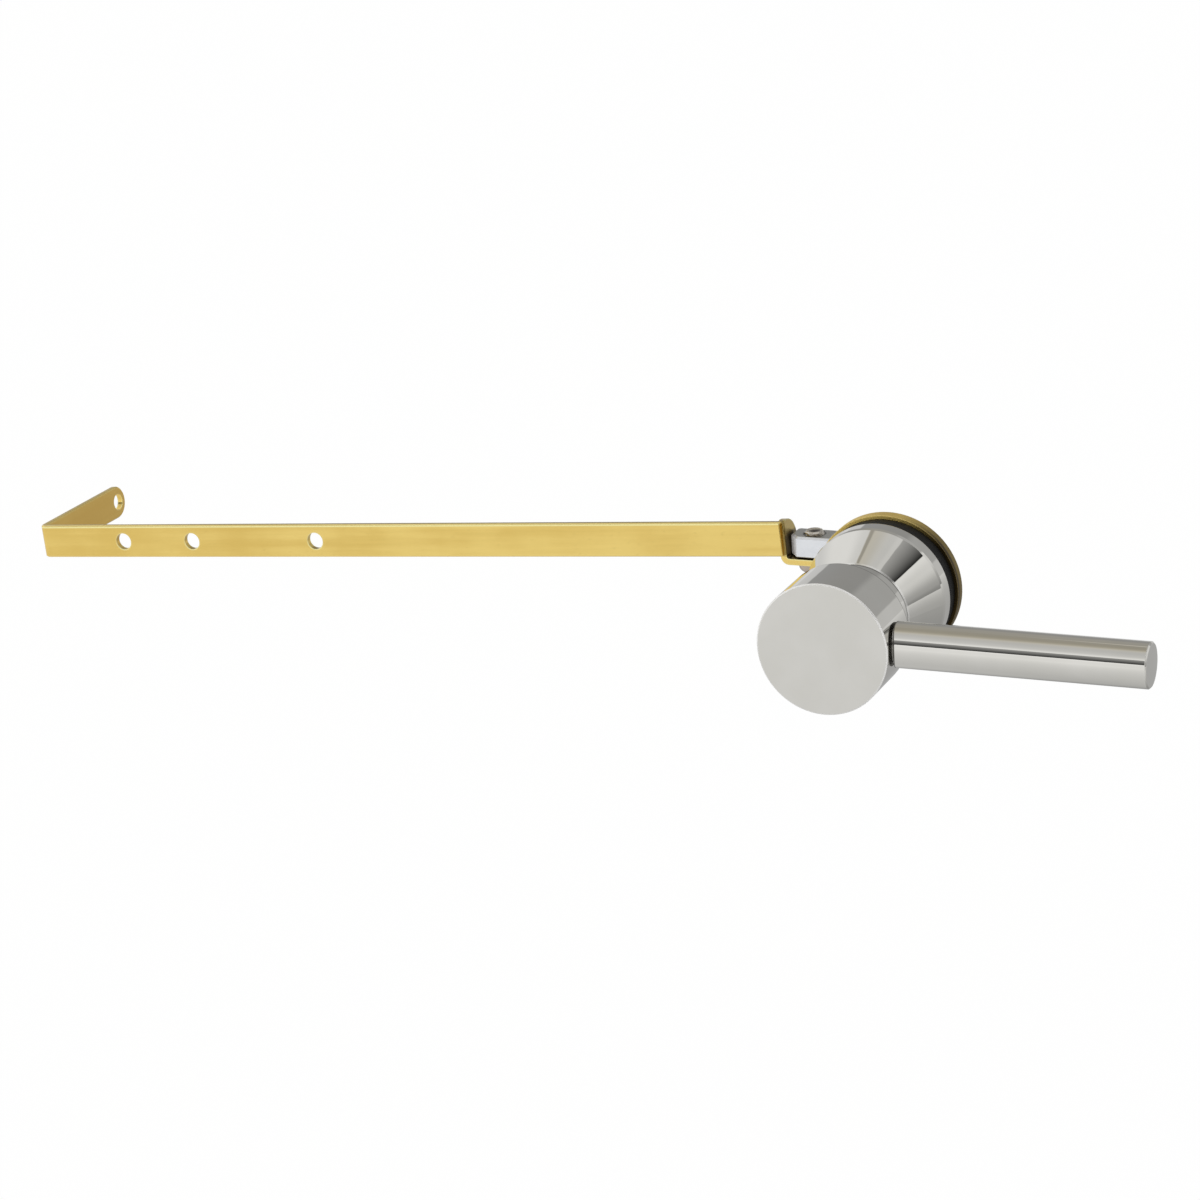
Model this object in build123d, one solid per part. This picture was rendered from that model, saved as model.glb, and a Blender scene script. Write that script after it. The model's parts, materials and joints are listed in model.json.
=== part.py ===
from build123d import *
import math
import os

os.makedirs("parts", exist_ok=True)

# Lever for a toilet tank, in millimetres. The origin is where the lever's axis meets the tank's
# outer face. +Y goes into the tank, +X runs along the handle, +Z is up.

# Hub and handle
hub_diameter = 30.0
hub_length = 15.0
hub_edge = 0.3
rod_diameter = 10.2
rod_reach = 70.8
rod_edge = 0.35
spigot_diameter = 8.4
spigot_depth = 6.0
reveal = 0.5
hub_gap = 0.5

# Escutcheon, the cone that stands on the tank
collar_diameter = 23.6
collar_length = 8.5
collar_edge = 0.3
cone_length = 11.8
rim_diameter = 33.0
rim_length = 4.0
rim_edge = 0.45

# Fixing through the tank wall
shank_diameter = 16.0
shank_bore = 11.0
shank_engagement = 14.5
shank_projection = 17.5
shank_edge = 0.8
gasket_inset = 0.3
gasket_thickness = 4.5
washer_diameter = 34.0
washer_thickness = 3.0
nut_flats = 24.0
nut_height = 6.0
nut_corner_angle = 30.0

# Bushes
front_flange_diameter = 13.6
front_sleeve = 9.0
rear_flange_diameter = 14.4
rear_flange_thickness = 0.8
rear_sleeve = 8.0

# Spindle with its bent and flattened end
spindle_diameter = 7.0
spindle_insert = 11.5
bend_clearance = 0.25
bend_radius = 8.5
cross_length = 18.8
taper_length = 3.5
paddle_length = 10.0
paddle_width = 7.4
paddle_thickness = 5.4
paddle_edge = 0.5
nose_length = 2.1
nose_depth = 2.7
heel_chamfer = 0.8
flat_height = 3.0
flat_length = 9.0

# Stop pin and its slot
pin_diameter = 2.5
pin_circle = 18.0
pin_depth = 5.0
pin_projection = 2.6
slot_depth = 2.5
rest_angle = 105.0
lever_travel = 30.0

# Screws
grub_diameter = 4.0
grub_length = 8.0
grub_key = 2.0
grub_key_depth = 2.2
screw_diameter = 4.8
screw_proud = 0.9
screw_tip = 0.3
screw_head_diameter = 8.0
screw_head_height = 2.5
screw_head_bevel = 1.0
screw_from_end = 5.5
drive_width = 1.1
drive_depth = 1.1

# Folded strip of the lifting arm
strip_thickness = 1.5
strip_width = 8.5
strip_bend = 0.15
strip_edge = 0.3
strip_offset = 4.85
strip_rise = 2.2
strip_droop = 4.2
arm_reach = 206.7
plate_gap = 0.3
plate_back = 3.95
plate_round = 6.4
flange_bend = 0.5
fold_land = 0.2
lug_radius = 4.2
tab_length = 40.2
tab_end_to_hole = 3.6
hole_diameter = 4.3
end_to_first_hole = 24.9
first_to_second_hole = 20.3
second_to_third_hole = 35.7

# Clearances
running_clearance = 0.05
thrust_clearance = 0.05
seat_clearance = 0.05
pin_clearance = 0.15
gasket_clearance = 0.1
washer_clearance = 0.15
screw_clearance = 0.2

# Places along the lever's axis, from the tank's outer face
rim_back = -gasket_thickness
rim_front = rim_back - rim_length
cone_front = rim_front - cone_length
collar_front = cone_front - collar_length
hub_back = collar_front - hub_gap
hub_middle = hub_back - hub_length / 2
spindle_front = hub_back - spindle_insert
shank_front = rim_back - shank_engagement
nut_front = washer_thickness
nut_back = nut_front + nut_height
bend_start = shank_projection + rear_flange_thickness + bend_clearance
cross_y = bend_start + bend_radius

hub_radius = hub_diameter / 2
shank_radius = shank_diameter / 2
spindle_radius = spindle_diameter / 2
bush_bore_radius = spindle_radius + running_clearance
sleeve_radius = shank_bore / 2 - seat_clearance

# Planes whose normals run along the lever's axis and along the handle
axis_plane = Plane(origin=(0, 0, 0), x_dir=(1, 0, 0), z_dir=(0, 1, 0))
handle_plane = Plane(origin=(0, hub_middle, 0), x_dir=(0, 1, 0), z_dir=(1, 0, 0))


def round_bar(radius, start, end):
    """Cylinder on the lever's axis between two places along it."""
    return extrude(axis_plane.offset(start) * Circle(radius), end - start)


def ring(outer, inner, start, end):
    return round_bar(outer, start, end) - round_bar(inner, start, end)


def edges_at(solid, place, radius):
    """Round edges of one radius on the lever's axis, at one place along it."""
    circles = solid.edges().filter_by(GeomType.CIRCLE)
    return [e for e in circles if abs(e.radius - radius) < 1e-4 and abs(e.arc_center.Y - place) < 1e-4]


def on_circle(radius, degrees):
    """Offset from the lever's axis at an angle from +X towards +Z."""
    return Vector(radius, 0, 0).rotate(Axis.Y, -degrees)


# Escutcheon: one turned profile, bored for the spindle and wider for the shank
collar_radius = collar_diameter / 2
rim_radius = rim_diameter / 2
escutcheon_profile = Polyline(
    (0, collar_front),
    (collar_radius, collar_front),
    (collar_radius, cone_front),
    (rim_radius, rim_front),
    (rim_radius, rim_back),
    (0, rim_back),
    close=True,
)
escutcheon = revolve(make_face(escutcheon_profile), Axis.Y)
escutcheon -= round_bar(shank_radius + seat_clearance, shank_front, rim_back)
escutcheon -= round_bar(shank_bore / 2, collar_front, shank_front)
escutcheon = chamfer(edges_at(escutcheon, rim_front, rim_radius), rim_edge)
escutcheon = chamfer(edges_at(escutcheon, collar_front, collar_radius), collar_edge)

# Arc slot in the collar's front face for the stop pin
collar_face = Plane(origin=(0, collar_front, 0), x_dir=(1, 0, 0), z_dir=(0, -1, 0))
half_slot = pin_diameter / 2 + pin_clearance
slot_start = rest_angle - lever_travel
first_stop = on_circle(pin_circle / 2, slot_start)
last_stop = on_circle(pin_circle / 2, rest_angle)
slot_outline = Wire([
    CenterArc((0, 0), pin_circle / 2 + half_slot, slot_start, lever_travel),
    CenterArc((last_stop.X, last_stop.Z), half_slot, rest_angle, 180),
    CenterArc((0, 0), pin_circle / 2 - half_slot, slot_start, lever_travel),
    CenterArc((first_stop.X, first_stop.Z), half_slot, slot_start, -180),
])
stop_slot = extrude(collar_face * make_face(slot_outline), -slot_depth)
escutcheon -= stop_slot

# Shank, gasket, clamp washer and lock nut
shank = ring(shank_radius, shank_bore / 2, shank_front, shank_projection)
shank = chamfer(edges_at(shank, shank_projection, shank_radius), shank_edge)
gasket = ring(rim_radius - gasket_inset, shank_radius + gasket_clearance, rim_back, 0)
washer_hole = shank_radius + washer_clearance
clamp_washer = ring(washer_diameter / 2, washer_hole, 0, washer_thickness)

nut_across_corners = nut_flats / 3**0.5
nut_plane = axis_plane.offset(nut_front)
hexagon = RegularPolygon(nut_flats / 2, 6, major_radius=False)
lock_nut = extrude(nut_plane * hexagon, nut_height)
nut_corner_drop = (nut_across_corners - nut_flats / 2) * math.tan(math.radians(nut_corner_angle))
nut_cone = Polyline(
    (0, nut_front),
    (nut_across_corners, nut_front),
    (nut_across_corners, nut_back - nut_corner_drop),
    (nut_flats / 2, nut_back),
    (0, nut_back),
    close=True,
)
lock_nut &= revolve(make_face(nut_cone), Axis.Y)
lock_nut -= round_bar(shank_radius + seat_clearance, nut_front, nut_back)

# Flanged bushes that carry the spindle at both ends of the shank
front_flange_face = hub_back + thrust_clearance
front_bush = ring(front_flange_diameter / 2, bush_bore_radius, front_flange_face, collar_front)
front_bush += ring(sleeve_radius, bush_bore_radius, collar_front, collar_front + front_sleeve)
rear_flange_face = shank_projection + rear_flange_thickness
rear_bush = ring(rear_flange_diameter / 2, bush_bore_radius, shank_projection, rear_flange_face)
rear_bush += ring(sleeve_radius, bush_bore_radius, shank_projection - rear_sleeve, shank_projection)

# Hub, bored for the spindle, the handle's spigot, the grub screw and the stop pin
hub_front = hub_back - hub_length
hub = round_bar(hub_radius, hub_front, hub_back)
hub = chamfer(edges_at(hub, hub_front, hub_radius) + edges_at(hub, hub_back, hub_radius), hub_edge)
hub -= round_bar(spindle_radius + seat_clearance, spindle_front, hub_back)
socket_floor = hub_radius - spigot_depth
socket = extrude(handle_plane.offset(socket_floor) * Circle(spigot_diameter / 2 + seat_clearance), hub_radius)
hub -= socket
grub_plane = Plane(origin=(0, hub_middle, -flat_height), x_dir=(1, 0, 0), z_dir=(0, 0, -1))
hub -= extrude(grub_plane * Circle(grub_diameter / 2 + seat_clearance), hub_radius)
pin_radius = pin_diameter / 2
pin_place = on_circle(pin_circle / 2, rest_angle)
pin_seat = round_bar(pin_radius + seat_clearance, hub_back - pin_depth, hub_back)
hub -= Pos(pin_place.X, 0, pin_place.Z) * pin_seat

# Handle rod, coped to stand off the hub by a narrow groove
cope_radius = hub_radius + reveal
handle_rod = extrude(handle_plane * Circle(rod_diameter / 2), rod_reach)
handle_rod = chamfer(handle_rod.faces().sort_by(Axis.X)[-1].edges(), rod_edge)
handle_rod -= round_bar(cope_radius, hub_middle - rod_diameter, hub_middle + rod_diameter)
spigot_length = cope_radius - socket_floor
handle_rod += extrude(handle_plane.offset(socket_floor) * Circle(spigot_diameter / 2), spigot_length)

# Grub screw with a hexagon socket in its outer end
grub_screw = extrude(grub_plane * Circle(grub_diameter / 2), grub_length)
key_plane = grub_plane.offset(grub_length - grub_key_depth)
grub_screw -= extrude(key_plane * RegularPolygon(grub_key / 2, 6, major_radius=False), grub_key_depth)

# Stop pin
pin_end = hub_back + pin_projection
stop_pin = Pos(pin_place.X, 0, pin_place.Z) * round_bar(pin_radius, hub_back - pin_depth, pin_end)

# Spindle: straight through the shank, one bend, then a taper into a flat paddle
spindle_path = FilletPolyline(
    (0, spindle_front, 0),
    (0, cross_y, 0),
    (-cross_length, cross_y, 0),
    radius=bend_radius,
)
spindle = sweep(axis_plane.offset(spindle_front) * Circle(spindle_radius), path=spindle_path)
flat_cut = Box(spindle_diameter, flat_length, spindle_diameter, align=(Align.CENTER, Align.MIN, Align.MAX))
spindle -= Pos(0, spindle_front, -flat_height) * flat_cut
paddle_root = cross_length + taper_length
paddle_end = paddle_root + paddle_length
cross_plane = Plane(origin=(-cross_length, cross_y, 0), x_dir=(0, 1, 0), z_dir=(-1, 0, 0))
root_plane = cross_plane.offset(taper_length)
paddle_section = chamfer(Rectangle(paddle_width, paddle_thickness).vertices(), paddle_edge)
spindle += loft([cross_plane * Circle(spindle_radius), root_plane * paddle_section])
paddle_front = cross_y - paddle_width / 2
paddle_back = cross_y + paddle_width / 2
paddle_plan = Polyline(
    (-paddle_root, paddle_front),
    (-paddle_end + nose_length, paddle_front),
    (-paddle_end, paddle_front + nose_depth),
    (-paddle_end, paddle_back - heel_chamfer),
    (-paddle_end + heel_chamfer, paddle_back),
    (-paddle_root, paddle_back),
    close=True,
)
paddle = extrude(make_face(paddle_plan), paddle_thickness / 2, both=True)
outline = paddle.edges().filter_by(lambda e: abs(e.center().Z) > paddle_thickness / 2 - 1e-4)
outline = outline.filter_by(lambda e: e.center().X < -paddle_root - 1e-4)
paddle = chamfer(outline, paddle_edge)
spindle += paddle
screw_x = -paddle_end + screw_from_end
screw_axis = Pos(screw_x, cross_y, 0)
spindle -= screw_axis * Cylinder(screw_diameter / 2 + seat_clearance, paddle_thickness)

# Lifting arm, folded from one strip. Its own frame lies on the plate's face beside the paddle and
# droops with the strip: the first axis runs along the strip, the second into the tank.
plate_x = -paddle_end - plate_gap
arm_frame = Location((plate_x, 0, 0)) * Location((0, 0, 0), (0, -strip_droop, 0))
half_strip = strip_thickness / 2
half_width = strip_width / 2
strip_front = cross_y - strip_offset
plate_front = strip_front + strip_thickness + strip_bend + fold_land
plate_rear = cross_y + plate_back
tab_centre = strip_front + tab_length - half_width
strip_line = FilletPolyline(
    (-arm_reach + half_strip, tab_centre),
    (-arm_reach + half_strip, strip_front + half_strip),
    (-half_strip, strip_front + half_strip),
    (-half_strip, plate_front),
    radius=strip_bend + half_strip,
)
strip = extrude(trace(strip_line, strip_thickness), half_width, both=True)
tab_plane = Plane(origin=(-arm_reach, tab_centre, 0), x_dir=(0, 1, 0), z_dir=(1, 0, 0))
strip += extrude(tab_plane * Circle(half_width), strip_thickness)
strip_rims = strip.edges().filter_by(lambda e: abs(e.center().Z) > half_width - 1e-4)
strip_rims = strip_rims.filter_by(lambda e: e.center().Y < plate_front - 1e-4 or e.center().X < -arm_reach / 2)
tab_rims = strip.edges().filter_by(GeomType.CIRCLE).filter_by(lambda e: abs(e.radius - half_width) < 1e-4)
strip = chamfer(strip_rims + tab_rims, strip_edge)
tab_hole = Pos(half_width - tab_end_to_hole, 0) * Circle(hole_diameter / 2)
strip -= extrude(tab_plane * tab_hole, strip_thickness)
first_hole = -arm_reach + end_to_first_hole
second_hole = first_hole + first_to_second_hole
third_hole = second_hole + second_to_third_hole
for hole_x in (first_hole, second_hole, third_hole):
    hole_plane = Plane(origin=(hole_x, strip_front, 0), x_dir=(1, 0, 0), z_dir=(0, 1, 0))
    strip -= extrude(hole_plane * Circle(hole_diameter / 2), strip_thickness)
strip_place = arm_frame * Pos(0, 0, strip_rise)
arm = strip_place * strip

# Plate at the strip's end, with the fold that turns its lower edge under the paddle
flange_top = -paddle_thickness / 2
flange_middle = flange_top - half_strip
droop = math.radians(strip_droop)
fold_x = plate_x - half_strip / math.cos(droop) - flange_middle * math.tan(droop)
fold_end = fold_x + half_strip + flange_bend + strip_thickness
plate_top = (strip_place * Pos(-half_strip, 0, half_width)).position
fold_plane = Plane(origin=(0, plate_front, 0), x_dir=(1, 0, 0), z_dir=(0, -1, 0))
fold_line = FilletPolyline(
    (plate_top.X, plate_top.Z),
    (fold_x, flange_middle),
    (fold_end, flange_middle),
    radius=flange_bend + half_strip,
)
plate_depth = plate_rear - plate_front
plate = extrude(fold_plane * trace(fold_line, strip_thickness), -plate_depth)
plate_corner = plate.faces().sort_by(Axis.Z)[-1].edges().sort_by(Axis.Y)[-1]
plate = fillet(plate_corner, min(plate_round, plate_depth - fold_land))
arm += plate

# Front end of the fold, below the strip's lower edge
flange_front = cross_y - lug_radius
lip_top = (strip_place * Pos(-half_strip, 0, strip_edge - half_width)).position
lip_plane = Plane(origin=(0, flange_front, 0), x_dir=(1, 0, 0), z_dir=(0, -1, 0))
lip_line = FilletPolyline(
    (lip_top.X, lip_top.Z),
    (fold_x, flange_middle),
    (fold_end, flange_middle),
    radius=flange_bend + half_strip,
)
arm += extrude(lip_plane * trace(lip_line, strip_thickness), flange_front - plate_front)

# Flange under the paddle, straight along its front and ending in a lug round the screw
lug = Edge.make_circle(lug_radius, Plane((screw_x, cross_y, 0)))
fold_edge = Edge.make_line((fold_end, flange_front, 0), (fold_end, plate_rear, 0))
flange = extrude(Pos(0, 0, flange_top) * make_hull([lug, fold_edge]), -strip_thickness)
arm += flange
arm -= screw_axis * Cylinder(screw_diameter / 2 + screw_clearance, 4 * paddle_thickness)

# Arm screw, put in from below, with its end standing out of the paddle
head_seat = flange_top - strip_thickness
screw_top = paddle_thickness / 2 + screw_proud
head_bottom = head_seat - screw_head_height
bottom_up = (Align.CENTER, Align.CENTER, Align.MIN)
arm_screw = Pos(0, 0, head_bottom) * Cylinder(screw_head_diameter / 2, screw_head_height, align=bottom_up)
arm_screw = chamfer(arm_screw.edges().group_by(Axis.Z)[0], screw_head_bevel)
stem_length = screw_top - head_seat
stem = Pos(0, 0, head_seat) * Cylinder(screw_diameter / 2, stem_length, align=bottom_up)
stem = chamfer(stem.edges().group_by(Axis.Z)[-1], screw_tip)
arm_screw += stem
drive = Box(drive_width, screw_head_diameter, drive_depth, align=bottom_up)
arm_screw -= Pos(0, 0, head_bottom) * drive
arm_screw = screw_axis * arm_screw

pieces = {
    "escutcheon": escutcheon,
    "shank": shank,
    "gasket": gasket,
    "clamp_washer": clamp_washer,
    "lock_nut": lock_nut,
    "front_bush": front_bush,
    "rear_bush": rear_bush,
    "hub": hub,
    "handle_rod": handle_rod,
    "grub_screw": grub_screw,
    "stop_pin": stop_pin,
    "spindle": spindle,
    "arm": arm,
    "arm_screw": arm_screw,
}
for name, piece in pieces.items():
    export_step(piece, f"parts/{name}.step")
    print(name, round(piece.volume, 2), len(piece.solids()))
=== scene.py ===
# %% [markdown]
# A lever for a toilet tank. Outside the tank there is a polished nickel hub with a straight rod, on a
# nickel cone with a black rubber ring behind it. Inside there is a bent steel spindle and a long brass
# strip that lifts the valve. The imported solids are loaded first, in metres, with the turning axis along
# Y and the handle along X, and every step below dresses them or replaces them in place.

# %% Load the solids
import json
import math

import bmesh
import bpy
from mathutils import Matrix, Vector


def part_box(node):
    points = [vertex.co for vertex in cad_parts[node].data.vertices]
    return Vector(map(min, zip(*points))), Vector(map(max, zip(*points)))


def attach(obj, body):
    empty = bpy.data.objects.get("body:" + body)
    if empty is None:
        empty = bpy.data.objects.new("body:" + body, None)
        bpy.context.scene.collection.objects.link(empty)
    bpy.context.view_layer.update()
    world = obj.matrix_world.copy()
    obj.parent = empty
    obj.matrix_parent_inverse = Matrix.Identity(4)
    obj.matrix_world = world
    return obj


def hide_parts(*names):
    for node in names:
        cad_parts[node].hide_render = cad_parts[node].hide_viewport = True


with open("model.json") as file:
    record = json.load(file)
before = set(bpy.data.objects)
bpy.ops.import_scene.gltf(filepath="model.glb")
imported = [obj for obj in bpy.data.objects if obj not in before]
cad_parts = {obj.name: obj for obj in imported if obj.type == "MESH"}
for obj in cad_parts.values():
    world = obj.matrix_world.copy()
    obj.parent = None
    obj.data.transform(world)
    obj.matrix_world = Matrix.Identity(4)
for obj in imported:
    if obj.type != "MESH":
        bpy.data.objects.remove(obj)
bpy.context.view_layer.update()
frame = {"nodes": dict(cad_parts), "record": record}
nodes = frame["nodes"]
scene = bpy.context.scene
scene.view_settings.view_transform = "Standard"

# %% [markdown]
# The camera stands in front of the lever, to its right and a little above it. A long lens keeps the arm
# and the rod nearly parallel. The three directions of the camera are written as the columns of a turn,
# which is easier to read than angles when a view is worked out from known points of the object.

# %% Camera
right = Vector((0.9197072, 0.3888196, -0.0543873))
up = Vector((-0.0742872, 0.3083725, 0.9483606))
back = Vector((0.3855128, -0.8681738, 0.3124967))
stand = Vector((0.2433950, -0.7085176, 0.2464297))
camera_data = bpy.data.cameras.new("camera")
camera_data.sensor_fit = "HORIZONTAL"
camera_data.sensor_width = 36.0
camera_data.lens = 103.868
camera_data.clip_end = 50.0
camera = bpy.data.objects.new("camera", camera_data)
turn = Matrix((right, up, back)).transposed()
camera.matrix_world = Matrix.Translation(stand) @ turn.to_4x4()
scene.collection.objects.link(camera)
scene.camera = camera
print("camera lens:", camera_data.lens, "mm")

# %% [markdown]
# Shaders and node trees here are written as sums. Each node could be placed and linked by hand, but a
# small class that wraps a socket lets an ordinary expression such as 0.2 + 0.1 * grain add the nodes
# by itself. Its one method for other nodes takes the node's type, its settings and its sockets.


# %% Sockets as values
class Value:
    """A socket of a node tree, or the tree alone, that can be used in a sum."""

    def __init__(self, tree, socket=None):
        self.tree = tree
        self.socket = socket

    def node(self, kind, settings=None, sockets=None, output=0):
        made = self.tree.nodes.new(kind)
        for name, setting in (settings or {}).items():
            setattr(made, name, setting)
        for name, given in (sockets or {}).items():
            if isinstance(given, Value):
                self.tree.links.new(given.socket, made.inputs[name])
            else:
                made.inputs[name].default_value = given
        return Value(self.tree, made.outputs[output] if len(made.outputs) else None)

    def math(self, operation, first, second=0.0):
        return self.node("ShaderNodeMath", {"operation": operation}, {0: first, 1: second})

    def __add__(self, other):
        return self.math("ADD", self, other)

    def __radd__(self, other):
        return self.math("ADD", other, self)

    def __sub__(self, other):
        return self.math("SUBTRACT", self, other)

    def __rsub__(self, other):
        return self.math("SUBTRACT", other, self)

    def __mul__(self, other):
        return self.math("MULTIPLY", self, other)

    def __rmul__(self, other):
        return self.math("MULTIPLY", other, self)

    def __truediv__(self, other):
        return self.math("DIVIDE", self, other)

    def __rtruediv__(self, other):
        return self.math("DIVIDE", other, self)

    def step(self, low, high):
        """0 below low, 1 above high and a soft rise between them."""
        settings = {"interpolation_type": "SMOOTHSTEP"}
        return self.node("ShaderNodeMapRange", settings, {"Value": self, "From Min": low, "From Max": high})

    def blend(self, first, second):
        """Number that goes from first to second as this value goes from 0 to 1."""
        settings = {"data_type": "FLOAT"}
        return self.node("ShaderNodeMix", settings, {0: self, 2: first, 3: second})

    def mix(self, first, second):
        """Colour that goes from first to second as this value goes from 0 to 1."""
        settings = {"data_type": "RGBA"}
        return self.node("ShaderNodeMix", settings, {0: self, 6: paint(first), 7: paint(second)}, 2)

    def other(self, output):
        """Another output of the same node."""
        return Value(self.tree, self.socket.node.outputs[output])


def paint(colour):
    return colour if isinstance(colour, Value) else (*colour, 1.0)


print("value class ready")

# %% [markdown]
# Three sums come back in many places: the parts of a vector, the larger of two values and the distance
# from an axis. Each gets a name of its own, which keeps the longer expressions below easy to read.


# %% Common sums
def split(page, vector):
    """The first part of a vector; other(1) and other(2) of it are the second and the third."""
    return page.node("ShaderNodeSeparateXYZ", None, {0: vector})


def either(page, first, second):
    """The larger of two values, so a mark is there if either of two marks is."""
    return page.math("MAXIMUM", first, second)


def from_axis(page, first, second):
    """Distance from an axis, from the offsets to it in two directions."""
    return page.math("SQRT", first * first + second * second)


print("common sums ready")

# %% [markdown]
# Polished metal shows little but the room around it, so the room decides the looks. Lamps and white
# cards could be built as meshes, but a world shader that is a function of direction is lighter and has
# no edges to hide. Azimuth 0 is straight behind the lever and 90 is to its right, and height is the
# angle over the horizon, both in degrees. First come the tones of each part of the room.

# %% Room tones
world = bpy.data.worlds.new("room")
scene.world = world
world.use_nodes = True
world.node_tree.nodes.clear()
sky = Value(world.node_tree)
axes = split(sky, sky.node("ShaderNodeTexCoord", output="Generated"))
azimuth = sky.math("ARCTAN2", axes, axes.other(1)) * math.degrees(1.0)
height = sky.math("ARCSINE", axes.other(2)) * math.degrees(1.0)
aside = sky.math("ABSOLUTE", azimuth)

wall_behind = 0.36 + 0.11 * azimuth.step(3.0, 10.0) + 0.06 * height.step(28.0, 40.0)
wall_behind = height.step(8.6, 10.2).blend(0.66, wall_behind)
wall_right = 0.34 + 0.13 * height.step(0.0, 6.0) + 0.39 * height.step(5.0, 24.0)
wall_right = wall_right + 0.14 * height.step(26.0, 38.5)
card_left = 0.77 + 0.20 * height.step(0.0, 22.0) - 0.13 * height.step(40.0, 54.0)
card_front = 1.0 + 0.14 * height.step(10.0, 17.0)
over_front = 1.08 - 0.33 * height.step(36.0, 52.0) - 0.08 * height.step(50.0, 66.0)
over_behind = 0.66 + 0.07 * azimuth.step(-20.0, 5.0) + 0.06 * azimuth.step(20.0, 32.0)
over_left = 0.40 + 0.28 * aside.step(55.0, 150.0)
print("room tones:", len(world.node_tree.nodes), "nodes")

# %% [markdown]
# The tones are laid side by side with narrow soft borders. Over the right wall and the front card there
# is a dark gap that comes lower towards the front: it is what draws the one dark line along the rod.

# %% Room
past_wall = aside.step(35.0, 37.5)
in_front = aside.step(100.0, 125.0)
under_ceiling = 1.0 - height.step(57.5, 60.5)
side = azimuth.step(-8.0, 8.0).blend(card_left, wall_right)
around = past_wall.blend(wall_behind, side)
above = azimuth.step(-33.0, -30.0).blend(over_left, over_behind)
around = under_ceiling.blend(above, around)
around = in_front.blend(around, height.step(27.0, 28.0).blend(card_front, over_front))

over_foot = height - (38.8 - 21.6 * aside.step(65.0, 150.0))
gap_height = 23.0 - 3.0 * in_front
gap_sides = either(sky, azimuth.step(36.0, 37.5), 1.0 - azimuth.step(-125.0, -100.0))
gap = over_foot.step(-0.5, 0.5) * (1.0 - (over_foot - gap_height).step(-0.5, 0.5)) * gap_sides
around = gap.blend(around, 0.01 + 0.02 * over_foot)
print("room:", len(world.node_tree.nodes), "nodes")

# %% [markdown]
# The wall behind and the ceiling over it are a little warm, and the cards are not. The camera itself
# sees plain white, which the Light Path node makes possible, so no backdrop has to be built.

# %% Room light
on_card = past_wall * under_ceiling
warmth = height.step(15.0, 45.0) * (1.0 - azimuth.step(-60.0, 20.0))
warmth = warmth * (1.0 - aside.step(90.0, 150.0)) * (1.0 - on_card)
tint = warmth.mix((1.0, 1.0, 1.0), (1.07, 1.0, 0.84))
lit = sky.node("ShaderNodeVectorMath", {"operation": "SCALE"}, {0: tint, "Scale": around})
path = sky.node("ShaderNodeLightPath", output="Is Camera Ray")
shown = either(sky, path, path.other("Is Transmission Ray")).mix(lit, (1.0, 1.0, 1.0))
glow = sky.node("ShaderNodeBackground", None, {"Color": shown, "Strength": 1.0})
sky.node("ShaderNodeOutputWorld", None, {"Surface": glow})
print("room light:", len(world.node_tree.nodes), "nodes")

# %% [markdown]
# Every finish below starts alike: an empty material and the point on the piece, in metres. Object
# coordinates are used throughout, because a pattern then stays on its piece when the lever turns.


# %% Empty finish
def finish(name):
    """A material without nodes, its page for sums and the point on the piece."""
    material = bpy.data.materials.new(name)
    material.use_nodes = True
    material.node_tree.nodes.clear()
    page = Value(material.node_tree)
    return material, page, page.node("ShaderNodeTexCoord", output="Object")


print("empty finish ready")

# %% [markdown]
# The floor is a wide pale plane well below the lever. To the camera it is white with a faint shadow, and
# to the metal it is a lit tabletop: bright in front, darkest in the lever's own shade just behind it and
# paler again far away. It is stage, not part of the object.

# %% Floor
half_floor = 9.0
floor_level = -0.12
square = [(-1, -1), (1, -1), (1, 1), (-1, 1)]
floor_corners = [(half_floor * x, half_floor * y, floor_level) for x, y in square]
floor_mesh = bpy.data.meshes.new("floor")
floor_mesh.from_pydata(floor_corners, [], [(0, 1, 2, 3)])
floor = bpy.data.objects.new("floor", floor_mesh)
scene.collection.objects.link(floor)
print("floor at", floor_level, "m")

# %% [markdown]
# The tabletop's tone depends on the distance from the foot of the lever, and the border between the lit
# front and the shade runs at a slant. Most of what the camera sees is a plain glow with a small share of
# matt surface, so that the lever's shadow stays faint on the white.

# %% Tabletop
table, page, point = finish("table")
parts = split(page, point)
foot_place = 0.03
across = parts - foot_place
deep = parts.other(1)
away = from_axis(page, across, deep + foot_place)
front_tone = 0.62 + 0.43 * away / (away + 0.25)
back_tone = 0.27 + 0.58 * away / (away + 0.6)
table_tone = (deep + 0.35 * across).step(-0.04, 0.09).blend(front_tone, back_tone)
path = page.node("ShaderNodeLightPath", output="Is Camera Ray")
straight = either(page, path, path.other("Is Transmission Ray"))
shine = page.node("ShaderNodeEmission", None, {"Color": straight.blend(table_tone, 1.02), "Strength": 1.0})
matt = page.node("ShaderNodeBsdfDiffuse", None, {"Color": (0.86, 0.86, 0.85, 1.0)})
share = either(page, straight * 0.95, path.other("Is Glossy Ray"))
surface = page.node("ShaderNodeMixShader", None, {0: share, 1: matt, 2: shine})
page.node("ShaderNodeOutputMaterial", None, {"Surface": surface})
floor_mesh.materials.append(table)
print("tabletop:", len(table.node_tree.nodes), "nodes")

# %% [markdown]
# Metal and rubber are never quite even. Noise at a given size gives stains, grain and streaks, and the
# same noise as a height gives a bump. The last two helpers close a finish with one shader and put it on
# the solids that keep their shape.


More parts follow.
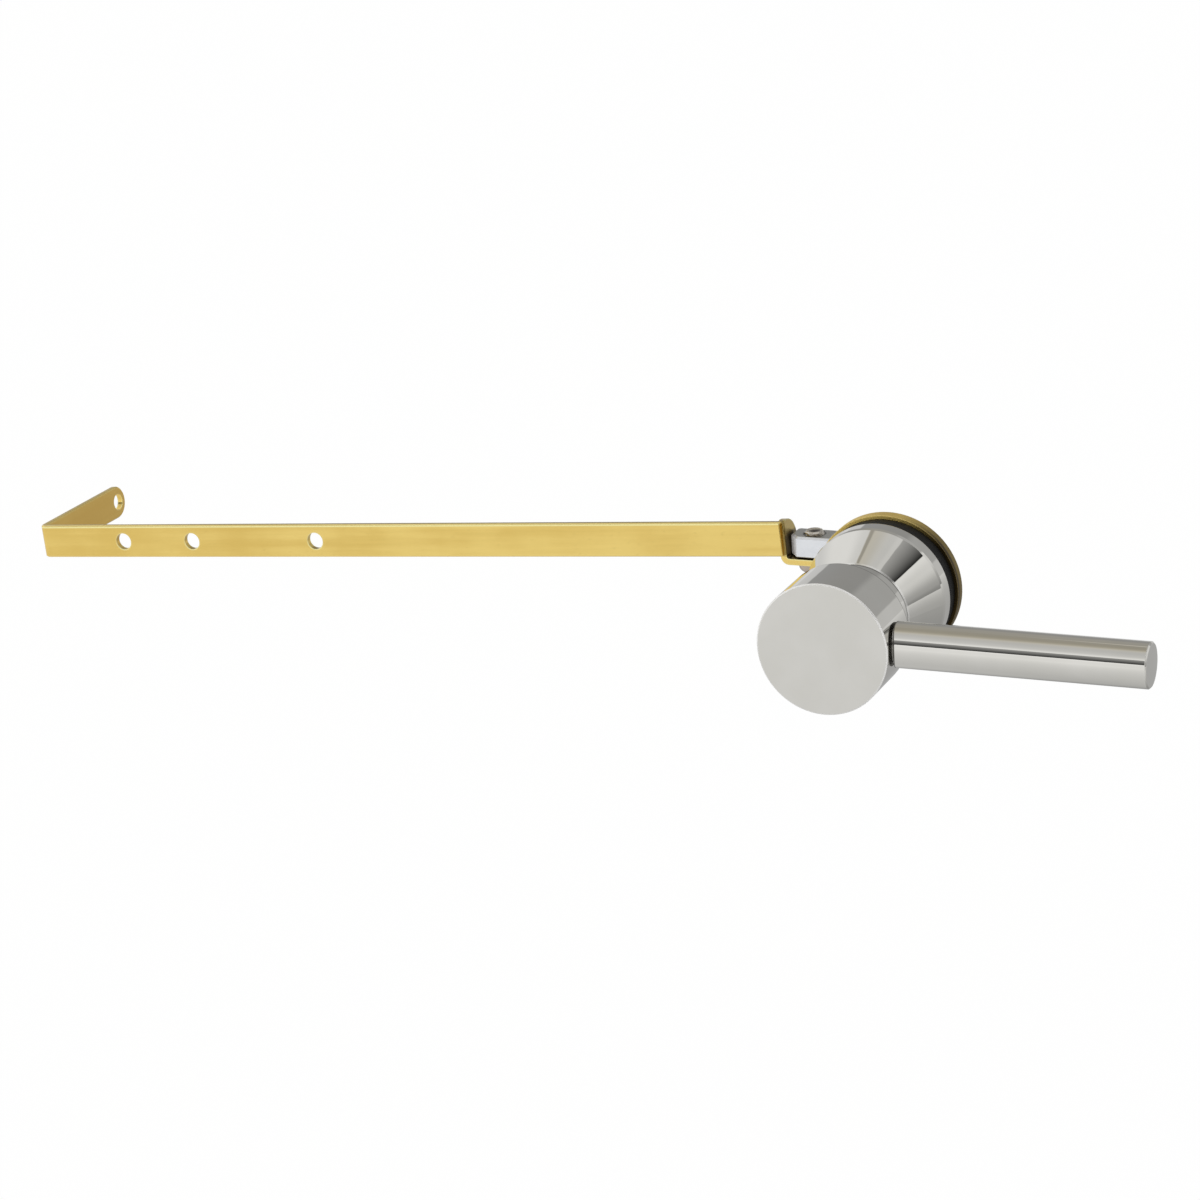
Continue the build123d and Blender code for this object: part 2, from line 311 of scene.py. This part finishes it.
# %% Finish helpers
def noise(point, grain, detail=2.0, stretch=(1.0, 1.0, 1.0), turn=(0.0, 0.0, 0.0)):
    """Cloudy value from 0 to 1, with spots of about one grain, in metres."""
    scale = [s / grain for s in stretch]
    laid = point.node("ShaderNodeMapping", {"vector_type": "TEXTURE"}, {"Vector": point, "Rotation": turn})
    sized = point.node("ShaderNodeVectorMath", {"operation": "MULTIPLY"}, {0: laid, 1: scale})
    return point.node("ShaderNodeTexNoise", None, {"Vector": sized, "Scale": 1.0, "Detail": detail})


def bump(page, heights, distance, strength, normal):
    """Normal from a height in metres, over the given one."""
    sockets = {"Height": heights, "Distance": distance, "Strength": strength, "Normal": normal}
    return page.node("ShaderNodeBump", None, sockets)


def close(page, sockets):
    """Ends a finish with one shader."""
    shader = page.node("ShaderNodeBsdfPrincipled", None, sockets)
    page.node("ShaderNodeOutputMaterial", None, {"Surface": shader})


def dress(material, *names):
    """Gives a finish to solids that keep their shape."""
    for name in names:
        nodes[name].data.materials.clear()
        nodes[name].data.materials.append(material)
    print(material.name, "on", ", ".join(names))


print("finish helpers ready")

# %% [markdown]
# Wear, painted highlights and painted shade sit on corners and on faces that look one way. Such marks could
# be painted by hand, but the Bevel node gives a normal that is rounded over the corners, and where that
# differs from the plain normal there is a corner. Normals come along the room's axes, so they are turned to
# the piece's own axes before they are split. A mark on an upper face then stays there when the lever turns.


# %% Corner and facing helpers
def plain_normal(page):
    return page.node("ShaderNodeNewGeometry", output="True Normal")


def rounded(page, radius):
    """Normal that turns smoothly over a corner, as if the corner had this radius."""
    return page.node("ShaderNodeBevel", {"samples": 12}, {"Radius": radius})


def edges(page, normal):
    """1 on the corners that a rounded normal turns over, 0 on the faces."""
    sockets = {0: plain_normal(page), 1: normal}
    like = page.node("ShaderNodeVectorMath", {"operation": "DOT_PRODUCT"}, sockets, "Value")
    return (1.0 - like).step(0.01, 0.12)


def turned_with(page, normal, start, end):
    """A normal from the room's axes to the piece's own, or back, so that it moves with the lever."""
    settings = {"vector_type": "NORMAL", "convert_from": start, "convert_to": end}
    return page.node("ShaderNodeVectorTransform", settings, {0: normal})


def facing(page, normal=None):
    """The three parts of a normal, or of the plain one, along the piece's own axes."""
    return split(page, turned_with(page, normal or plain_normal(page), "WORLD", "OBJECT"))


print("wear helpers ready")

# %% [markdown]
# The hub, the rod and the cone are brass that is turned, polished and nickel plated. Painted shade darkens
# the neck between hub and rod, the hub's back edge and the root of the collar, and next to that root a
# painted highlight makes the front edge of the cone pale. Such lines could be painted in a texture, but
# each lies at a known place, so the boxes of the solids are enough to find them.

# %% Nickel lines, painted shade and highlight
nickel, page, point = finish("polished_nickel")
hub_low, hub_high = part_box("hub")
hub_back = hub_high.y
hub_radius = (hub_high.x - hub_low.x) / 2
neck_start = hub_radius + 0.00003
neck_end = hub_radius + 0.0006
collar_length = 0.0085
cone_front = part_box("escutcheon")[0].y + collar_length
line_width = 0.0006
soft = 0.0002
crisp = 0.0001

parts = split(page, point)
depth = parts.other(1)
on_lever = 1.0 - depth.step(hub_back, hub_back + 0.0003)
out = from_axis(page, parts, parts.other(2))
# The neck, seam and root masks mark painted shade in the neck, along the hub's back edge and at the collar
# root.
neck = out.step(neck_start, neck_start + 0.00005) * (1.0 - out.step(neck_end, neck_end + soft)) * on_lever
seam = depth.step(hub_back - line_width, hub_back - line_width + soft) * on_lever
root = depth.step(cone_front - line_width, cone_front - line_width + soft)
root = root * (1.0 - depth.step(cone_front - crisp, cone_front))
# crest marks a painted highlight along the cone's front edge, next to the collar root.
crest = depth.step(cone_front, cone_front + crisp)
crest = crest * (1.0 - depth.step(cone_front + line_width - soft, cone_front + line_width))
print("hub radius:", round(hub_radius, 4), "m, cone starts at", round(cone_front, 4), "m")

# %% [markdown]
# A painted highlight makes the corners paler and rougher. It is only on the corners that face forward, not
# on those at the back, and the rounded normal softens them. The chamfer round the hub's face gets the same
# painted highlight. It is told by the way it leans, and since part of the round rod leans the same way, the
# rod is left out.

# %% Nickel painted highlights
corner = rounded(page, 0.00015)
lean = facing(page).other(1)
on_rod = parts.step(hub_high.x, hub_high.x + 0.0003) * on_lever
chamfer = (1.0 - lean.step(-0.65, -0.55)) * lean.step(-0.85, -0.75) * (1.0 - on_rod)
# Painted highlight on the corners that face forward, on the face chamfer and, at half strength, on the
# cone's front edge.
edge_wear_and_highlight = edges(page, corner) * (1.0 - facing(page, corner).other(1).step(-0.3, -0.1))
edge_wear_and_highlight = either(page, either(page, edge_wear_and_highlight, chamfer), 0.5 * crest) * (1.0 - neck)
# Painted shade in the neck, along the hub's back edge and at the collar root.
gap_shade = either(page, 0.85 * neck, 0.6 * either(page, seam, root))
print("nickel marks:", len(nickel.node_tree.nodes), "nodes")

# %% [markdown]
# The plate itself is a warm mirror. A perfect mirror looks drawn, so the roughness wanders a little and
# the surface has the faint waves that a polishing wheel leaves.

# %% Polished nickel
smear = noise(point, 0.012, 3.0)
mist = noise(point, 0.0012, 2.0)
wave = noise(point, 0.006, 1.0)
plate = smear.step(0.3, 0.7).mix((0.69, 0.68, 0.645), (0.66, 0.65, 0.61))
# Painted shade darkens the plate in the neck, on the hub's back edge and at the collar root.
plate = gap_shade.mix(plate, (0.05, 0.047, 0.04))
# The base colour, metallic and roughness take the painted highlight on the corners, the chamfer and the
# cone's front edge.
close(page, {
    "Base Color": edge_wear_and_highlight.mix(plate, (1.0, 0.99, 0.97)),
    "Metallic": 1.0 - 0.4 * edge_wear_and_highlight,
    "Roughness": 0.015 + 0.03 * smear * mist + 0.33 * edge_wear_and_highlight + 0.3 * neck,
    "Normal": bump(page, wave, 0.000012, 1.0, corner),
})
dress(nickel, "hub", "handle_rod", "escutcheon")

# %% [markdown]
# The arm is folded from rolled brass strip, left bare. Rolling leaves fine lines and long soft streaks
# along the strip, and handling leaves stains and flecks. Noise that is stretched along the strip and
# round its folds gives the lines, because both the long run and the tab then keep them lengthwise. The
# strip droops a little, so the noise is turned by the same angle.

# %% Strip grain
strip, page, point = finish("strip_brass")
parts = split(page, point)
droop = math.radians(4.2)
lie = (0.0, -droop, 0.0)
strip_outer = -0.24
strip_inner = -0.03
lines = noise(point, 0.00035, 3.0, (0.012, 0.012, 1.0), lie)
streak = noise(point, 0.0022, 3.0, (0.05, 0.05, 1.0), lie)
stain = noise(point, 0.016, 4.0)
fleck = noise(point, 0.0009, 2.0)
tone = 0.5 * streak + 0.5 * stain + 0.2 * parts.step(strip_outer, strip_inner) - 0.1
brass = tone.step(0.3, 0.7).mix((0.77, 0.545, 0.15), (0.91, 0.685, 0.22))
brass = (0.3 * fleck.step(0.62, 0.8)).mix(brass, (0.66, 0.46, 0.13))
print("strip droops by", round(math.degrees(droop), 1), "degrees")

# %% [markdown]
# A painted highlight brightens the corners of the strip, those facing up most, and another runs along the
# front's upper corner over its whole length. How high it runs is worked out from a hole in the middle of
# the strip, whose place is in the record, and half the strip's width.

# %% Strip corners, painted highlights
corner = rounded(page, 0.00012)
broad = rounded(page, 0.0008)
faces = facing(page)
slope = math.tan(droop)
half_strip = 0.00425
hole = [mount["pos_m"] for mount in frame["record"]["mounts"] if mount["name"] == "outer_hole"][0]
rim = hole[2] - slope * hole[0] + half_strip
rise = parts.other(2) - slope * parts
# Painted highlight on the strip's corners, strongest on those facing up.
edge_wear_and_highlight = edges(page, broad) * (0.4 + 0.6 * facing(page, broad).other(2).step(0.05, 0.3))
# Painted highlight along the front's upper corner.
rim_highlight = rise.step(rim - 0.0008, rim - 0.0004) * (1.0 - faces.other(1).step(-0.9, -0.6))
brass = either(page, edge_wear_and_highlight, rim_highlight).mix(brass, (1.0, 0.92, 0.44))
print("upper corner at", round(rim, 4), "m over the axis")

# %% [markdown]
# Painted shade darkens the cut upper edge, which faces up, and the outside of the inner bend. The inside of
# the outer tab is browner. The bend lies at the end of the spindle's flat, whose place comes from the
# spindle's box.

# %% Strip painted shades
spindle_low, spindle_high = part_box("spindle")
flat_width = 0.0074
flat_end = spindle_low.x
flat_front = spindle_high.y - flat_width
bend_start = flat_end - 0.0013
flange_top = -0.0024
blur = 0.0004
along = parts + slope * parts.other(2)
# Painted shade on the outside of the inner bend, at the end of the flat and above the flange.
bend_shade = along.step(bend_start, bend_start + blur)
bend_shade = bend_shade * (1.0 - parts.other(1).step(flat_front, flat_front + 0.0005))
bend_shade = bend_shade * parts.other(2).step(flange_top, flange_top + blur)
# Painted shade on the faces that look up, fading out towards the strip's outer end.
upper_face_shade = faces.other(2).step(0.75, 0.95) * parts.step(-0.215, -0.175)
inside_tab = faces.step(0.7, 0.9) * (1.0 - parts.step(-0.20, -0.19))
brass = (0.5 * either(page, upper_face_shade, bend_shade)).mix(brass, (0.24, 0.16, 0.045))
brass = (0.5 * inside_tab).mix(brass, (0.80, 0.49, 0.12))
print("flat ends at", round(flat_end, 4), "m and starts at depth", round(flat_front, 4), "m")

# %% [markdown]
# Painted shade darkens the face that meets the end of the flat, less at the top. Being bare metal, the
# strip is only a little rough, and its rolled lines are a few thousandths of a millimetre deep.

# %% Strip brass
fade = 0.0003
met = parts.step(flat_end - 0.0011, flat_end - 0.0008)
met = met * (1.0 - parts.step(flat_end + fade, flat_end + 2.0 * fade))
met = met * parts.other(1).step(flat_front - fade, flat_front)
met = met * parts.other(2).step(-0.0030, -0.0026)
# Painted shade where the arm's face meets the end of the flat, less at the top.
crevice_shade = met * (0.9 - 0.5 * parts.other(2).step(0.0022, 0.0034))
close(page, {
    "Base Color": crevice_shade.mix(brass, (0.07, 0.05, 0.022)),
    "Metallic": 1.0 - 0.15 * edge_wear_and_highlight,
    "Roughness": 0.13 + 0.08 * lines + 0.05 * stain + 0.15 * crevice_shade,
    "Normal": bump(page, 0.7 * lines + 0.3 * fleck, 0.000008, 0.8, corner),
})
dress(strip, "arm")

# %% [markdown]
# The clamp washer, the nut and the threaded shank are turned brass, a little browner. A lathe tool
# leaves rings, so the lines depend on the distance from the turning axis and on the place along it.
# A few pits in the bar show as dark dots.

# %% Turned grain
turned, page, point = finish("turned_brass")
parts = split(page, point)
along = parts.other(1)
radius = from_axis(page, parts, parts.other(2))
ring_gap = 0.00012
rings = noise(page.node("ShaderNodeCombineXYZ", None, {0: radius, 1: along}), ring_gap, 2.0)
stain = noise(point, 0.007, 4.0)
cells = page.node("ShaderNodeTexVoronoi", {"feature": "F1"}, {"Vector": point, "Scale": 190.0})
pits = 1.0 - cells.step(0.035, 0.06)
brass = stain.step(0.3, 0.7).mix((0.76, 0.565, 0.17), (0.88, 0.675, 0.215))
print("lathe rings every", ring_gap, "m")

# %% [markdown]
# Painted shade darkens the washer's right side nearly black, most of all in front and next to the rubber.
# The painted shade ends where the washer does, so nut and shank are not darkened. Wear has bared the
# corners.

# %% Turned brass
washer_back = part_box("clamp_washer")[1].y
rubber_end = 0.0008
corner = rounded(page, 0.0003)
to_front = 1.0 - facing(page).other(1).step(-0.8, -0.4)
near_rubber = either(page, to_front, 1.0 - along.step(rubber_end, rubber_end + 0.0006))
on_washer = 1.0 - along.step(washer_back + 0.0002, washer_back + 0.0012)
# Painted shade on the washer's right side, strongest in front and next to the rubber.
washer_side_shade = (parts / radius + 0.4 * stain).step(0.35, 0.95) * (0.75 + 0.22 * near_rubber) * on_washer
edge_wear_and_highlight = 0.7 * edges(page, corner) * (1.0 - 0.8 * washer_side_shade)
brass = washer_side_shade.mix(brass, (0.045, 0.03, 0.013))
brass = edge_wear_and_highlight.mix(brass, (0.95, 0.76, 0.34))
close(page, {
    "Base Color": pits.mix(brass, (0.07, 0.05, 0.02)),
    "Metallic": 1.0,
    "Roughness": 0.42 + 0.16 * rings + 0.2 * pits,
    "Normal": bump(page, rings - 2.0 * pits, 0.000010, 0.8, corner),
})
dress(turned, "clamp_washer", "lock_nut", "shank")

# %% [markdown]
# The ring behind the cone is soft black rubber. It swallows most light and has a fine dull grain. One
# even black would look like a hole, so patches of dust lighten it.

# %% Black rubber
rubber, page, point = finish("black_rubber")
grain = noise(point, 0.00025, 3.0)
dust = noise(point, 0.004, 4.0)
close(page, {
    "Base Color": dust.step(0.35, 0.8).mix((0.006, 0.006, 0.0058), (0.012, 0.0115, 0.0105)),
    "Roughness": 0.5 + 0.2 * grain,
    "Specular IOR Level": 0.22,
    "Normal": bump(page, grain, 0.00003, 0.6, rounded(page, 0.0003)),
})
dress(rubber, "gasket")

# %% [markdown]
# The two flanged bushes are moulded black plastic, smoother than the rubber, with a faint moulded grain.
# They are all but hidden, so two noises are enough.

# %% Black acetal
acetal, page, point = finish("black_acetal")
grain = noise(point, 0.0004, 2.0)
shade = noise(point, 0.005, 2.0)
close(page, {
    "Base Color": shade.mix((0.014, 0.014, 0.015), (0.022, 0.022, 0.023)),
    "Roughness": 0.32 + 0.12 * grain,
    "Normal": bump(page, grain, 0.00001, 0.5, rounded(page, 0.0002)),
})
dress(acetal, "front_bush", "rear_bush")

# %% [markdown]
# The spindle is drawn steel rod with bright zinc plate. Painted shade darkens the top of its flat, a
# painted highlight makes its saw-cut nose white, and its corners are dull white zinc. Painted shade also
# darkens the foot of the flat, where it meets the arm, and a ring round the screw. Each mark is found by
# its place and by the way the face looks.

# %% Steel marks
steel, page, point = finish("bright_steel")
parts = split(page, point)
cloud = noise(point, 0.003, 4.0)
corner = rounded(page, 0.00025)
screw_low, screw_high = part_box("arm_screw")
screw_middle = (screw_low + screw_high) / 2
nose_end = flat_end + 0.00195
flat_start = -0.0225
flat_half = 0.0025
on_top = facing(page).other(2).step(0.75, 0.95)
# The nose is painted white as a painted highlight, and the corners are dull white zinc.
nose = (1.0 - parts.step(nose_end, nose_end + 0.0002)) * (1.0 - on_top)
nose_highlight_and_pale_corners = either(page, nose, 0.8 * edges(page, corner))
# Painted shade on the upward-facing top of the flat.
flat_top_shade = on_top * (1.0 - parts.step(flat_start, flat_start + 0.001))
# Painted shade along the foot of the flat, over the flange, and in a ring round the screw.
foot = 1.0 - parts.other(2).step(-flat_half, -flat_half + 0.0004)
foot = foot * (1.0 - parts.step(flat_start, flat_start + 0.0005))
from_screw = from_axis(page, parts - screw_middle.x, parts.other(1) - screw_middle.y)
ring = 1.0 - (from_screw + 0.0008 * cloud).step(0.0029, 0.0034)
ring = ring * parts.other(2).step(flat_half - 0.0001, flat_half + 0.0001)
crevice_shade = either(page, foot, 0.85 * ring)
print("screw at", round(screw_middle.x, 5), round(screw_middle.y, 5), "m")

# %% [markdown]
# Zinc is cooler than nickel and slightly cloudy. The nose is a rough saw cut whose normal is turned
# forward, so that with its white colour it makes a painted highlight, lit as if it faced the front. The
# stop pin has the same plate.

# %% Bright steel
grain = noise(point, 0.0003, 2.0)
plate = cloud.step(0.3, 0.7).mix((0.80, 0.82, 0.86), (0.87, 0.89, 0.92))
plate = (0.85 * flat_top_shade).mix(plate, (0.40, 0.395, 0.36))
plate = nose_highlight_and_pale_corners.mix(plate, (0.97, 0.97, 0.98))
dimpled = bump(page, 0.6 * cloud + 0.4 * grain, 0.000012, 0.7, corner)
# The nose's normal is turned forward, so that it is lit like the front, a painted highlight.
forward = turned_with(page, (-0.25, -0.97, 0.0), "OBJECT", "WORLD")
outward = page.node("ShaderNodeMix", {"data_type": "VECTOR"}, {0: nose, 4: dimpled, 5: forward}, 1)
close(page, {
    "Base Color": crevice_shade.mix(plate, (0.03, 0.025, 0.02)),
    "Metallic": 0.95 - 0.9 * nose_highlight_and_pale_corners,
    "Roughness": 0.2 + 0.12 * cloud + 0.06 * grain + 0.2 * crevice_shade,
    "Normal": outward,
})
dress(steel, "spindle", "stop_pin")

# %% [markdown]
# The grub screw is hardened steel with a black oxide skin: dark, mostly metallic and a little mottled.
# It sits deep in the hub's underside, so one noise does for both its colour and its grain.

# %% Dark steel
dark, page, point = finish("dark_steel")
mottle = noise(point, 0.0008, 3.0)
close(page, {
    "Base Color": mottle.mix((0.035, 0.035, 0.038), (0.065, 0.064, 0.066)),
    "Metallic": 0.8,
    "Roughness": 0.38 + 0.15 * mottle,
    "Normal": bump(page, mottle, 0.00001, 0.5, rounded(page, 0.0001)),
})
dress(dark, "grub_screw")

# %% [markdown]
# The arm screw is a plated machine screw, put in from below, with a slotted round head. The head is
# browner, the hollow in the stem's end is darker, and the stem is chipped, which a coarse bump gives.

# %% Screw steel
screw, page, point = finish("screw_steel")
parts = split(page, point)
cloud = noise(point, 0.0015, 3.0)
chips = noise(point, 0.0009, 2.0)
head_height = 0.0025
seat = screw_low.z + head_height
hollow_rim = 0.0014
inward = from_axis(page, parts - screw_middle.x, parts.other(1) - screw_middle.y)
at_end = parts.other(2).step(screw_high.z - 0.0008, screw_high.z - 0.0006)
# The hollow in the stem's end is darker.
dark_hollow = at_end * (1.0 - (inward + 0.001 * cloud).step(hollow_rim, hollow_rim + 0.0004))
on_head = 1.0 - parts.other(2).step(seat - 0.0003, seat + 0.0001)
plate = cloud.mix((0.52, 0.48, 0.41), (0.66, 0.62, 0.56))
plate = (0.6 * on_head).mix(plate, (0.42, 0.33, 0.27))
close(page, {
    "Base Color": (0.85 * dark_hollow).mix(plate, (0.05, 0.04, 0.03)),
    "Metallic": 1.0,
    "Roughness": 0.07 + 0.08 * cloud + 0.2 * dark_hollow,
    "Normal": bump(page, 0.1 * cloud + (1.0 - on_head) * chips, 0.0004, 0.8, rounded(page, 0.0001)),
})
dress(screw, "arm_screw")

# %% [markdown]
# A screw thread follows a rule: the radius dips once in each pitch, and a full turn moves the dip on by
# one pitch. A swept profile would need a helix and a boolean cut. A grid that is rolled up by a rule
# needs neither: one side of the grid goes round the axis, the other goes along the thread, over the
# end, back through the bore and closes on itself.


# %% Thread rule
def rolled_up(page, size):
    """Where each point of a flat grid of side 1 goes, by its place on the grid."""
    rows = size["Rows"]
    parts = split(page, page.node("GeometryNodeInputPosition"))
    turn = parts + 0.5
    row = (parts.other(1) + 0.5) * (rows + 3)
    at_end = page.math("GREATER_THAN", row, rows + 0.5)
    at_start = page.math("GREATER_THAN", row, rows + 1.5)
    shut = page.math("GREATER_THAN", row, rows + 2.5)
    share = page.math("MINIMUM", row / rows, 1.0) * (1.0 - at_start)
    length = size["End"] - size["Start"]
    along = share * length
    phase = page.math("FRACT", along / size["Pitch"] - turn + 1.0)
    ridge = page.math("ABSOLUTE", 2.0 * phase - 1.0)
    groove = 1.0 - ridge.step(0.06, 0.94)
    from_end = page.math("MINIMUM", along, length - along)
    bevel = either(page, size["End Bevel"] - from_end, 0.0)
    outer = size["Radius"] - either(page, size["Depth"] * groove, bevel)
    radius = outer + (at_end - shut) * (size["Bore Radius"] - outer)
    angle = turn * (2.0 * math.pi)
    return page.node("ShaderNodeCombineXYZ", None, {
        0: radius * page.math("COSINE", angle),
        1: radius * page.math("SINE", angle),
        2: size["Start"] + along - size["Cup"] * (at_end - at_start),
    })


print("thread rule ready")

# %% [markdown]
# The rule goes into a Geometry Nodes tree whose inputs are the sizes of a thread, so one tree serves the
# shank and the screw. The grid's two ends meet after rolling and are merged there.


# %% Thread tree
def thread_tree():
    tree = bpy.data.node_groups.new("thread", "GeometryNodeTree")
    lengths = ["Radius", "Bore Radius", "Start", "End", "Pitch", "Depth", "End Bevel", "Cup"]
    kinds = {**dict.fromkeys(lengths, "Float"), "Rows": "Int", "Material": "Material"}
    for name, kind in kinds.items():
        tree.interface.new_socket(name, in_out="INPUT", socket_type="NodeSocket" + kind)
    tree.interface.new_socket("Geometry", in_out="OUTPUT", socket_type="NodeSocketGeometry")
    page = Value(tree)
    given = page.node("NodeGroupInput")
    size = {s.name: Value(tree, s) for s in given.socket.node.outputs if s.name}
    counts = {"Size X": 1.0, "Size Y": 1.0, "Vertices X": 97, "Vertices Y": size["Rows"] + 4}
    made = page.node("GeometryNodeMeshGrid", None, counts)
    chain = [
        ("GeometryNodeSetPosition", {"Position": rolled_up(page, size)}),
        ("GeometryNodeMergeByDistance", {"Distance": 1e-7}),
        ("GeometryNodeSetShadeSmooth", {"Shade Smooth": True}),
        ("GeometryNodeRealizeInstances", {}),
        ("GeometryNodeSetMaterial", {"Material": size["Material"]}),
        ("NodeGroupOutput", {}),
    ]
    for kind, sockets in chain:
        made = page.node(kind, None, {"Geometry": made, **sockets})
    return tree


threads = thread_tree()
print("thread tree:", len(threads.nodes), "nodes")

# %% [markdown]
# The tree becomes a mesh once its sizes are set. The sizes go in by each socket's identifier, and the
# result is turned into a plain mesh and laid on its axis.


# %% Thread maker
def made_plain(holder, *helpers):
    """Plain mesh of an object with its modifiers applied; the object and its helpers go."""
    bpy.context.view_layer.update()
    held = holder.evaluated_get(bpy.context.evaluated_depsgraph_get())
    mesh = bpy.data.meshes.new_from_object(held)
    for item in (holder, *helpers):
        bpy.data.objects.remove(item)
    return mesh


def cut_thread(name, material, place, sizes):
    holder = bpy.data.objects.new(name, bpy.data.meshes.new(name))
    scene.collection.objects.link(holder)
    modifier = holder.modifiers.new("thread", "NODES")
    modifier.node_group = threads
    inputs = [item for item in threads.interface.items_tree if item.in_out == "INPUT"]
    ids = {item.name: item.identifier for item in inputs}
    for socket_name, size in {**sizes, "Material": material}.items():
        modifier[ids[socket_name]] = size
    mesh = made_plain(holder)
    mesh.transform(place)
    return mesh


print("thread maker ready")

# %% [markdown]
# A piece that is made here takes the place of its solid and rides on the same body. Before that its mesh is
# closed and its faces are turned outwards. Edges over a given angle stay crisp.


# %% Piece helpers
def tidy(mesh, angle):
    """Closes doubles, drops loose edges, turns the faces outwards and keeps sharp corners."""
    shape = bmesh.new()
    shape.from_mesh(mesh)
    bmesh.ops.remove_doubles(shape, verts=shape.verts, dist=1e-7)
    loose = [edge for edge in shape.edges if not edge.link_faces]
    bmesh.ops.delete(shape, geom=loose, context="EDGES")
    bmesh.ops.recalc_face_normals(shape, faces=shape.faces)
    shape.to_mesh(mesh)
    shape.free()
    mesh.shade_smooth()
    mesh.set_sharp_from_angle(angle=math.radians(angle))


def add_piece(name, mesh, body, slot, *replaced):
    piece = bpy.data.objects.new(name, mesh)
    scene.collection.objects.link(piece)
    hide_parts(*replaced)
    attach(piece, body)
    print(name, "faces:", len(mesh.polygons), "in place of", ", ".join(replaced))


print("piece helpers ready")

# %% [markdown]
# The shank is a 16 mm tube with a 1.5 mm pitch over its whole length. It lies along Y, so the tree's
# upright axis is turned onto Y. It is made from the solid's own box, so it can't leave its place.

# %% Threaded shank
shank_low, shank_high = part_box("shank")
along_y = Matrix.Rotation(math.radians(-90.0), 4, "X")
shank_mesh = cut_thread("shank_thread", turned, along_y, {
    "Radius": (shank_high.x - shank_low.x) / 2, "Bore Radius": 0.0055,
    "Start": shank_low.y, "End": shank_high.y,
    "Pitch": 0.0015, "Depth": 0.0009, "End Bevel": 0.0009, "Cup": 0.0, "Rows": 340,
})
tidy(shank_mesh, 40.0)
add_piece("threaded_shank", shank_mesh, "mount", "turned_brass", "shank")

# %% [markdown]
# The arm screw's stem is 4.8 mm thick with a fine thread, and its last turn stands out of the spindle's
# flat. The same tree makes it, with no bore and a shallow cup in its end. It starts a little inside the
# head.

# %% Screw stem
stem_overlap = 0.0004
upright = Matrix.Translation((screw_middle.x, screw_middle.y, 0.0))
stem_mesh = cut_thread("stem_thread", screw, upright, {
    "Radius": 0.0024, "Bore Radius": 0.0, "Start": seat - stem_overlap, "End": screw_high.z,
    "Pitch": 0.0008, "Depth": 0.00045, "End Bevel": 0.0005, "Cup": 0.0006, "Rows": 150,
})
print("stem faces:", len(stem_mesh.polygons))

# %% [markdown]
# The screw's pan head is a rounded disc. A bevelled cylinder would show a flat rim, so its outline is a
# curve between a circle and a square, spun round the axis ring by ring.

# %% Screw head
head_radius = (screw_high.x - screw_low.x) / 2
roundness = 2.0 / 3.2
head_turns = 96
head_levels = 18
head = bmesh.new()
circles = []
for level in range(head_levels):
    slant = math.radians(90.0) * level / head_levels
    wide = head_radius * math.cos(slant) ** roundness
    low = seat - head_height * math.sin(slant) ** roundness
    circle = []
    for number in range(head_turns):
        angle = 2.0 * math.pi * number / head_turns
        x = screw_middle.x + wide * math.cos(angle)
        y = screw_middle.y + wide * math.sin(angle)
        circle.append(head.verts.new((x, y, low)))
    circles.append(circle)
for upper, lower in zip(circles, circles[1:]):
    for number in range(head_turns):
        after = (number + 1) % head_turns
        head.faces.new((upper[number], lower[number], lower[after], upper[after]))
head.faces.new(circles[0])
head.faces.new(circles[-1])
bmesh.ops.recalc_face_normals(head, faces=head.faces)
head_mesh = bpy.data.meshes.new("screw_head")
head.to_mesh(head_mesh)
head.free()
head_mesh.materials.append(screw)
print("head faces:", len(head_mesh.polygons))

# %% [markdown]
# The slot for the screwdriver runs right across the head. A boolean with a long thin box cuts it, as a
# slitting saw does.

# %% Screw slot
slot_width = 0.0011
slot_depth = 0.0011
slot_place = Matrix.Translation((screw_middle.x, screw_middle.y, screw_low.z))
slot_size = Matrix.Diagonal((slot_width, 4.0 * head_radius, 2.0 * slot_depth, 1.0))
slot_box = bmesh.new()
bmesh.ops.create_cube(slot_box, size=1.0, matrix=slot_place @ slot_size)
slot_mesh = bpy.data.meshes.new("slot_cutter")
slot_box.to_mesh(slot_mesh)
slot_box.free()
cutter = bpy.data.objects.new("slot_cutter", slot_mesh)
holder = bpy.data.objects.new("screw_head", head_mesh)
for item in (cutter, holder):
    scene.collection.objects.link(item)
slotting = holder.modifiers.new("slot", "BOOLEAN")
slotting.operation = "DIFFERENCE"
slotting.solver = "EXACT"
slotting.object = cutter
cut_head = made_plain(holder, cutter)
print("slotted head faces:", len(cut_head.polygons))

# %% [markdown]
# Stem and head overlap a little, so they are simply put in one mesh, which stands for the whole screw
# and turns with the lever.

# %% Slotted screw
whole = bmesh.new()
whole.from_mesh(stem_mesh)
whole.from_mesh(cut_head)
screw_mesh = bpy.data.meshes.new("slotted_screw")
whole.to_mesh(screw_mesh)
whole.free()
screw_mesh.materials.append(screw)
tidy(screw_mesh, 35.0)
add_piece("slotted_screw", screw_mesh, "lever", "screw_steel", "arm_screw")
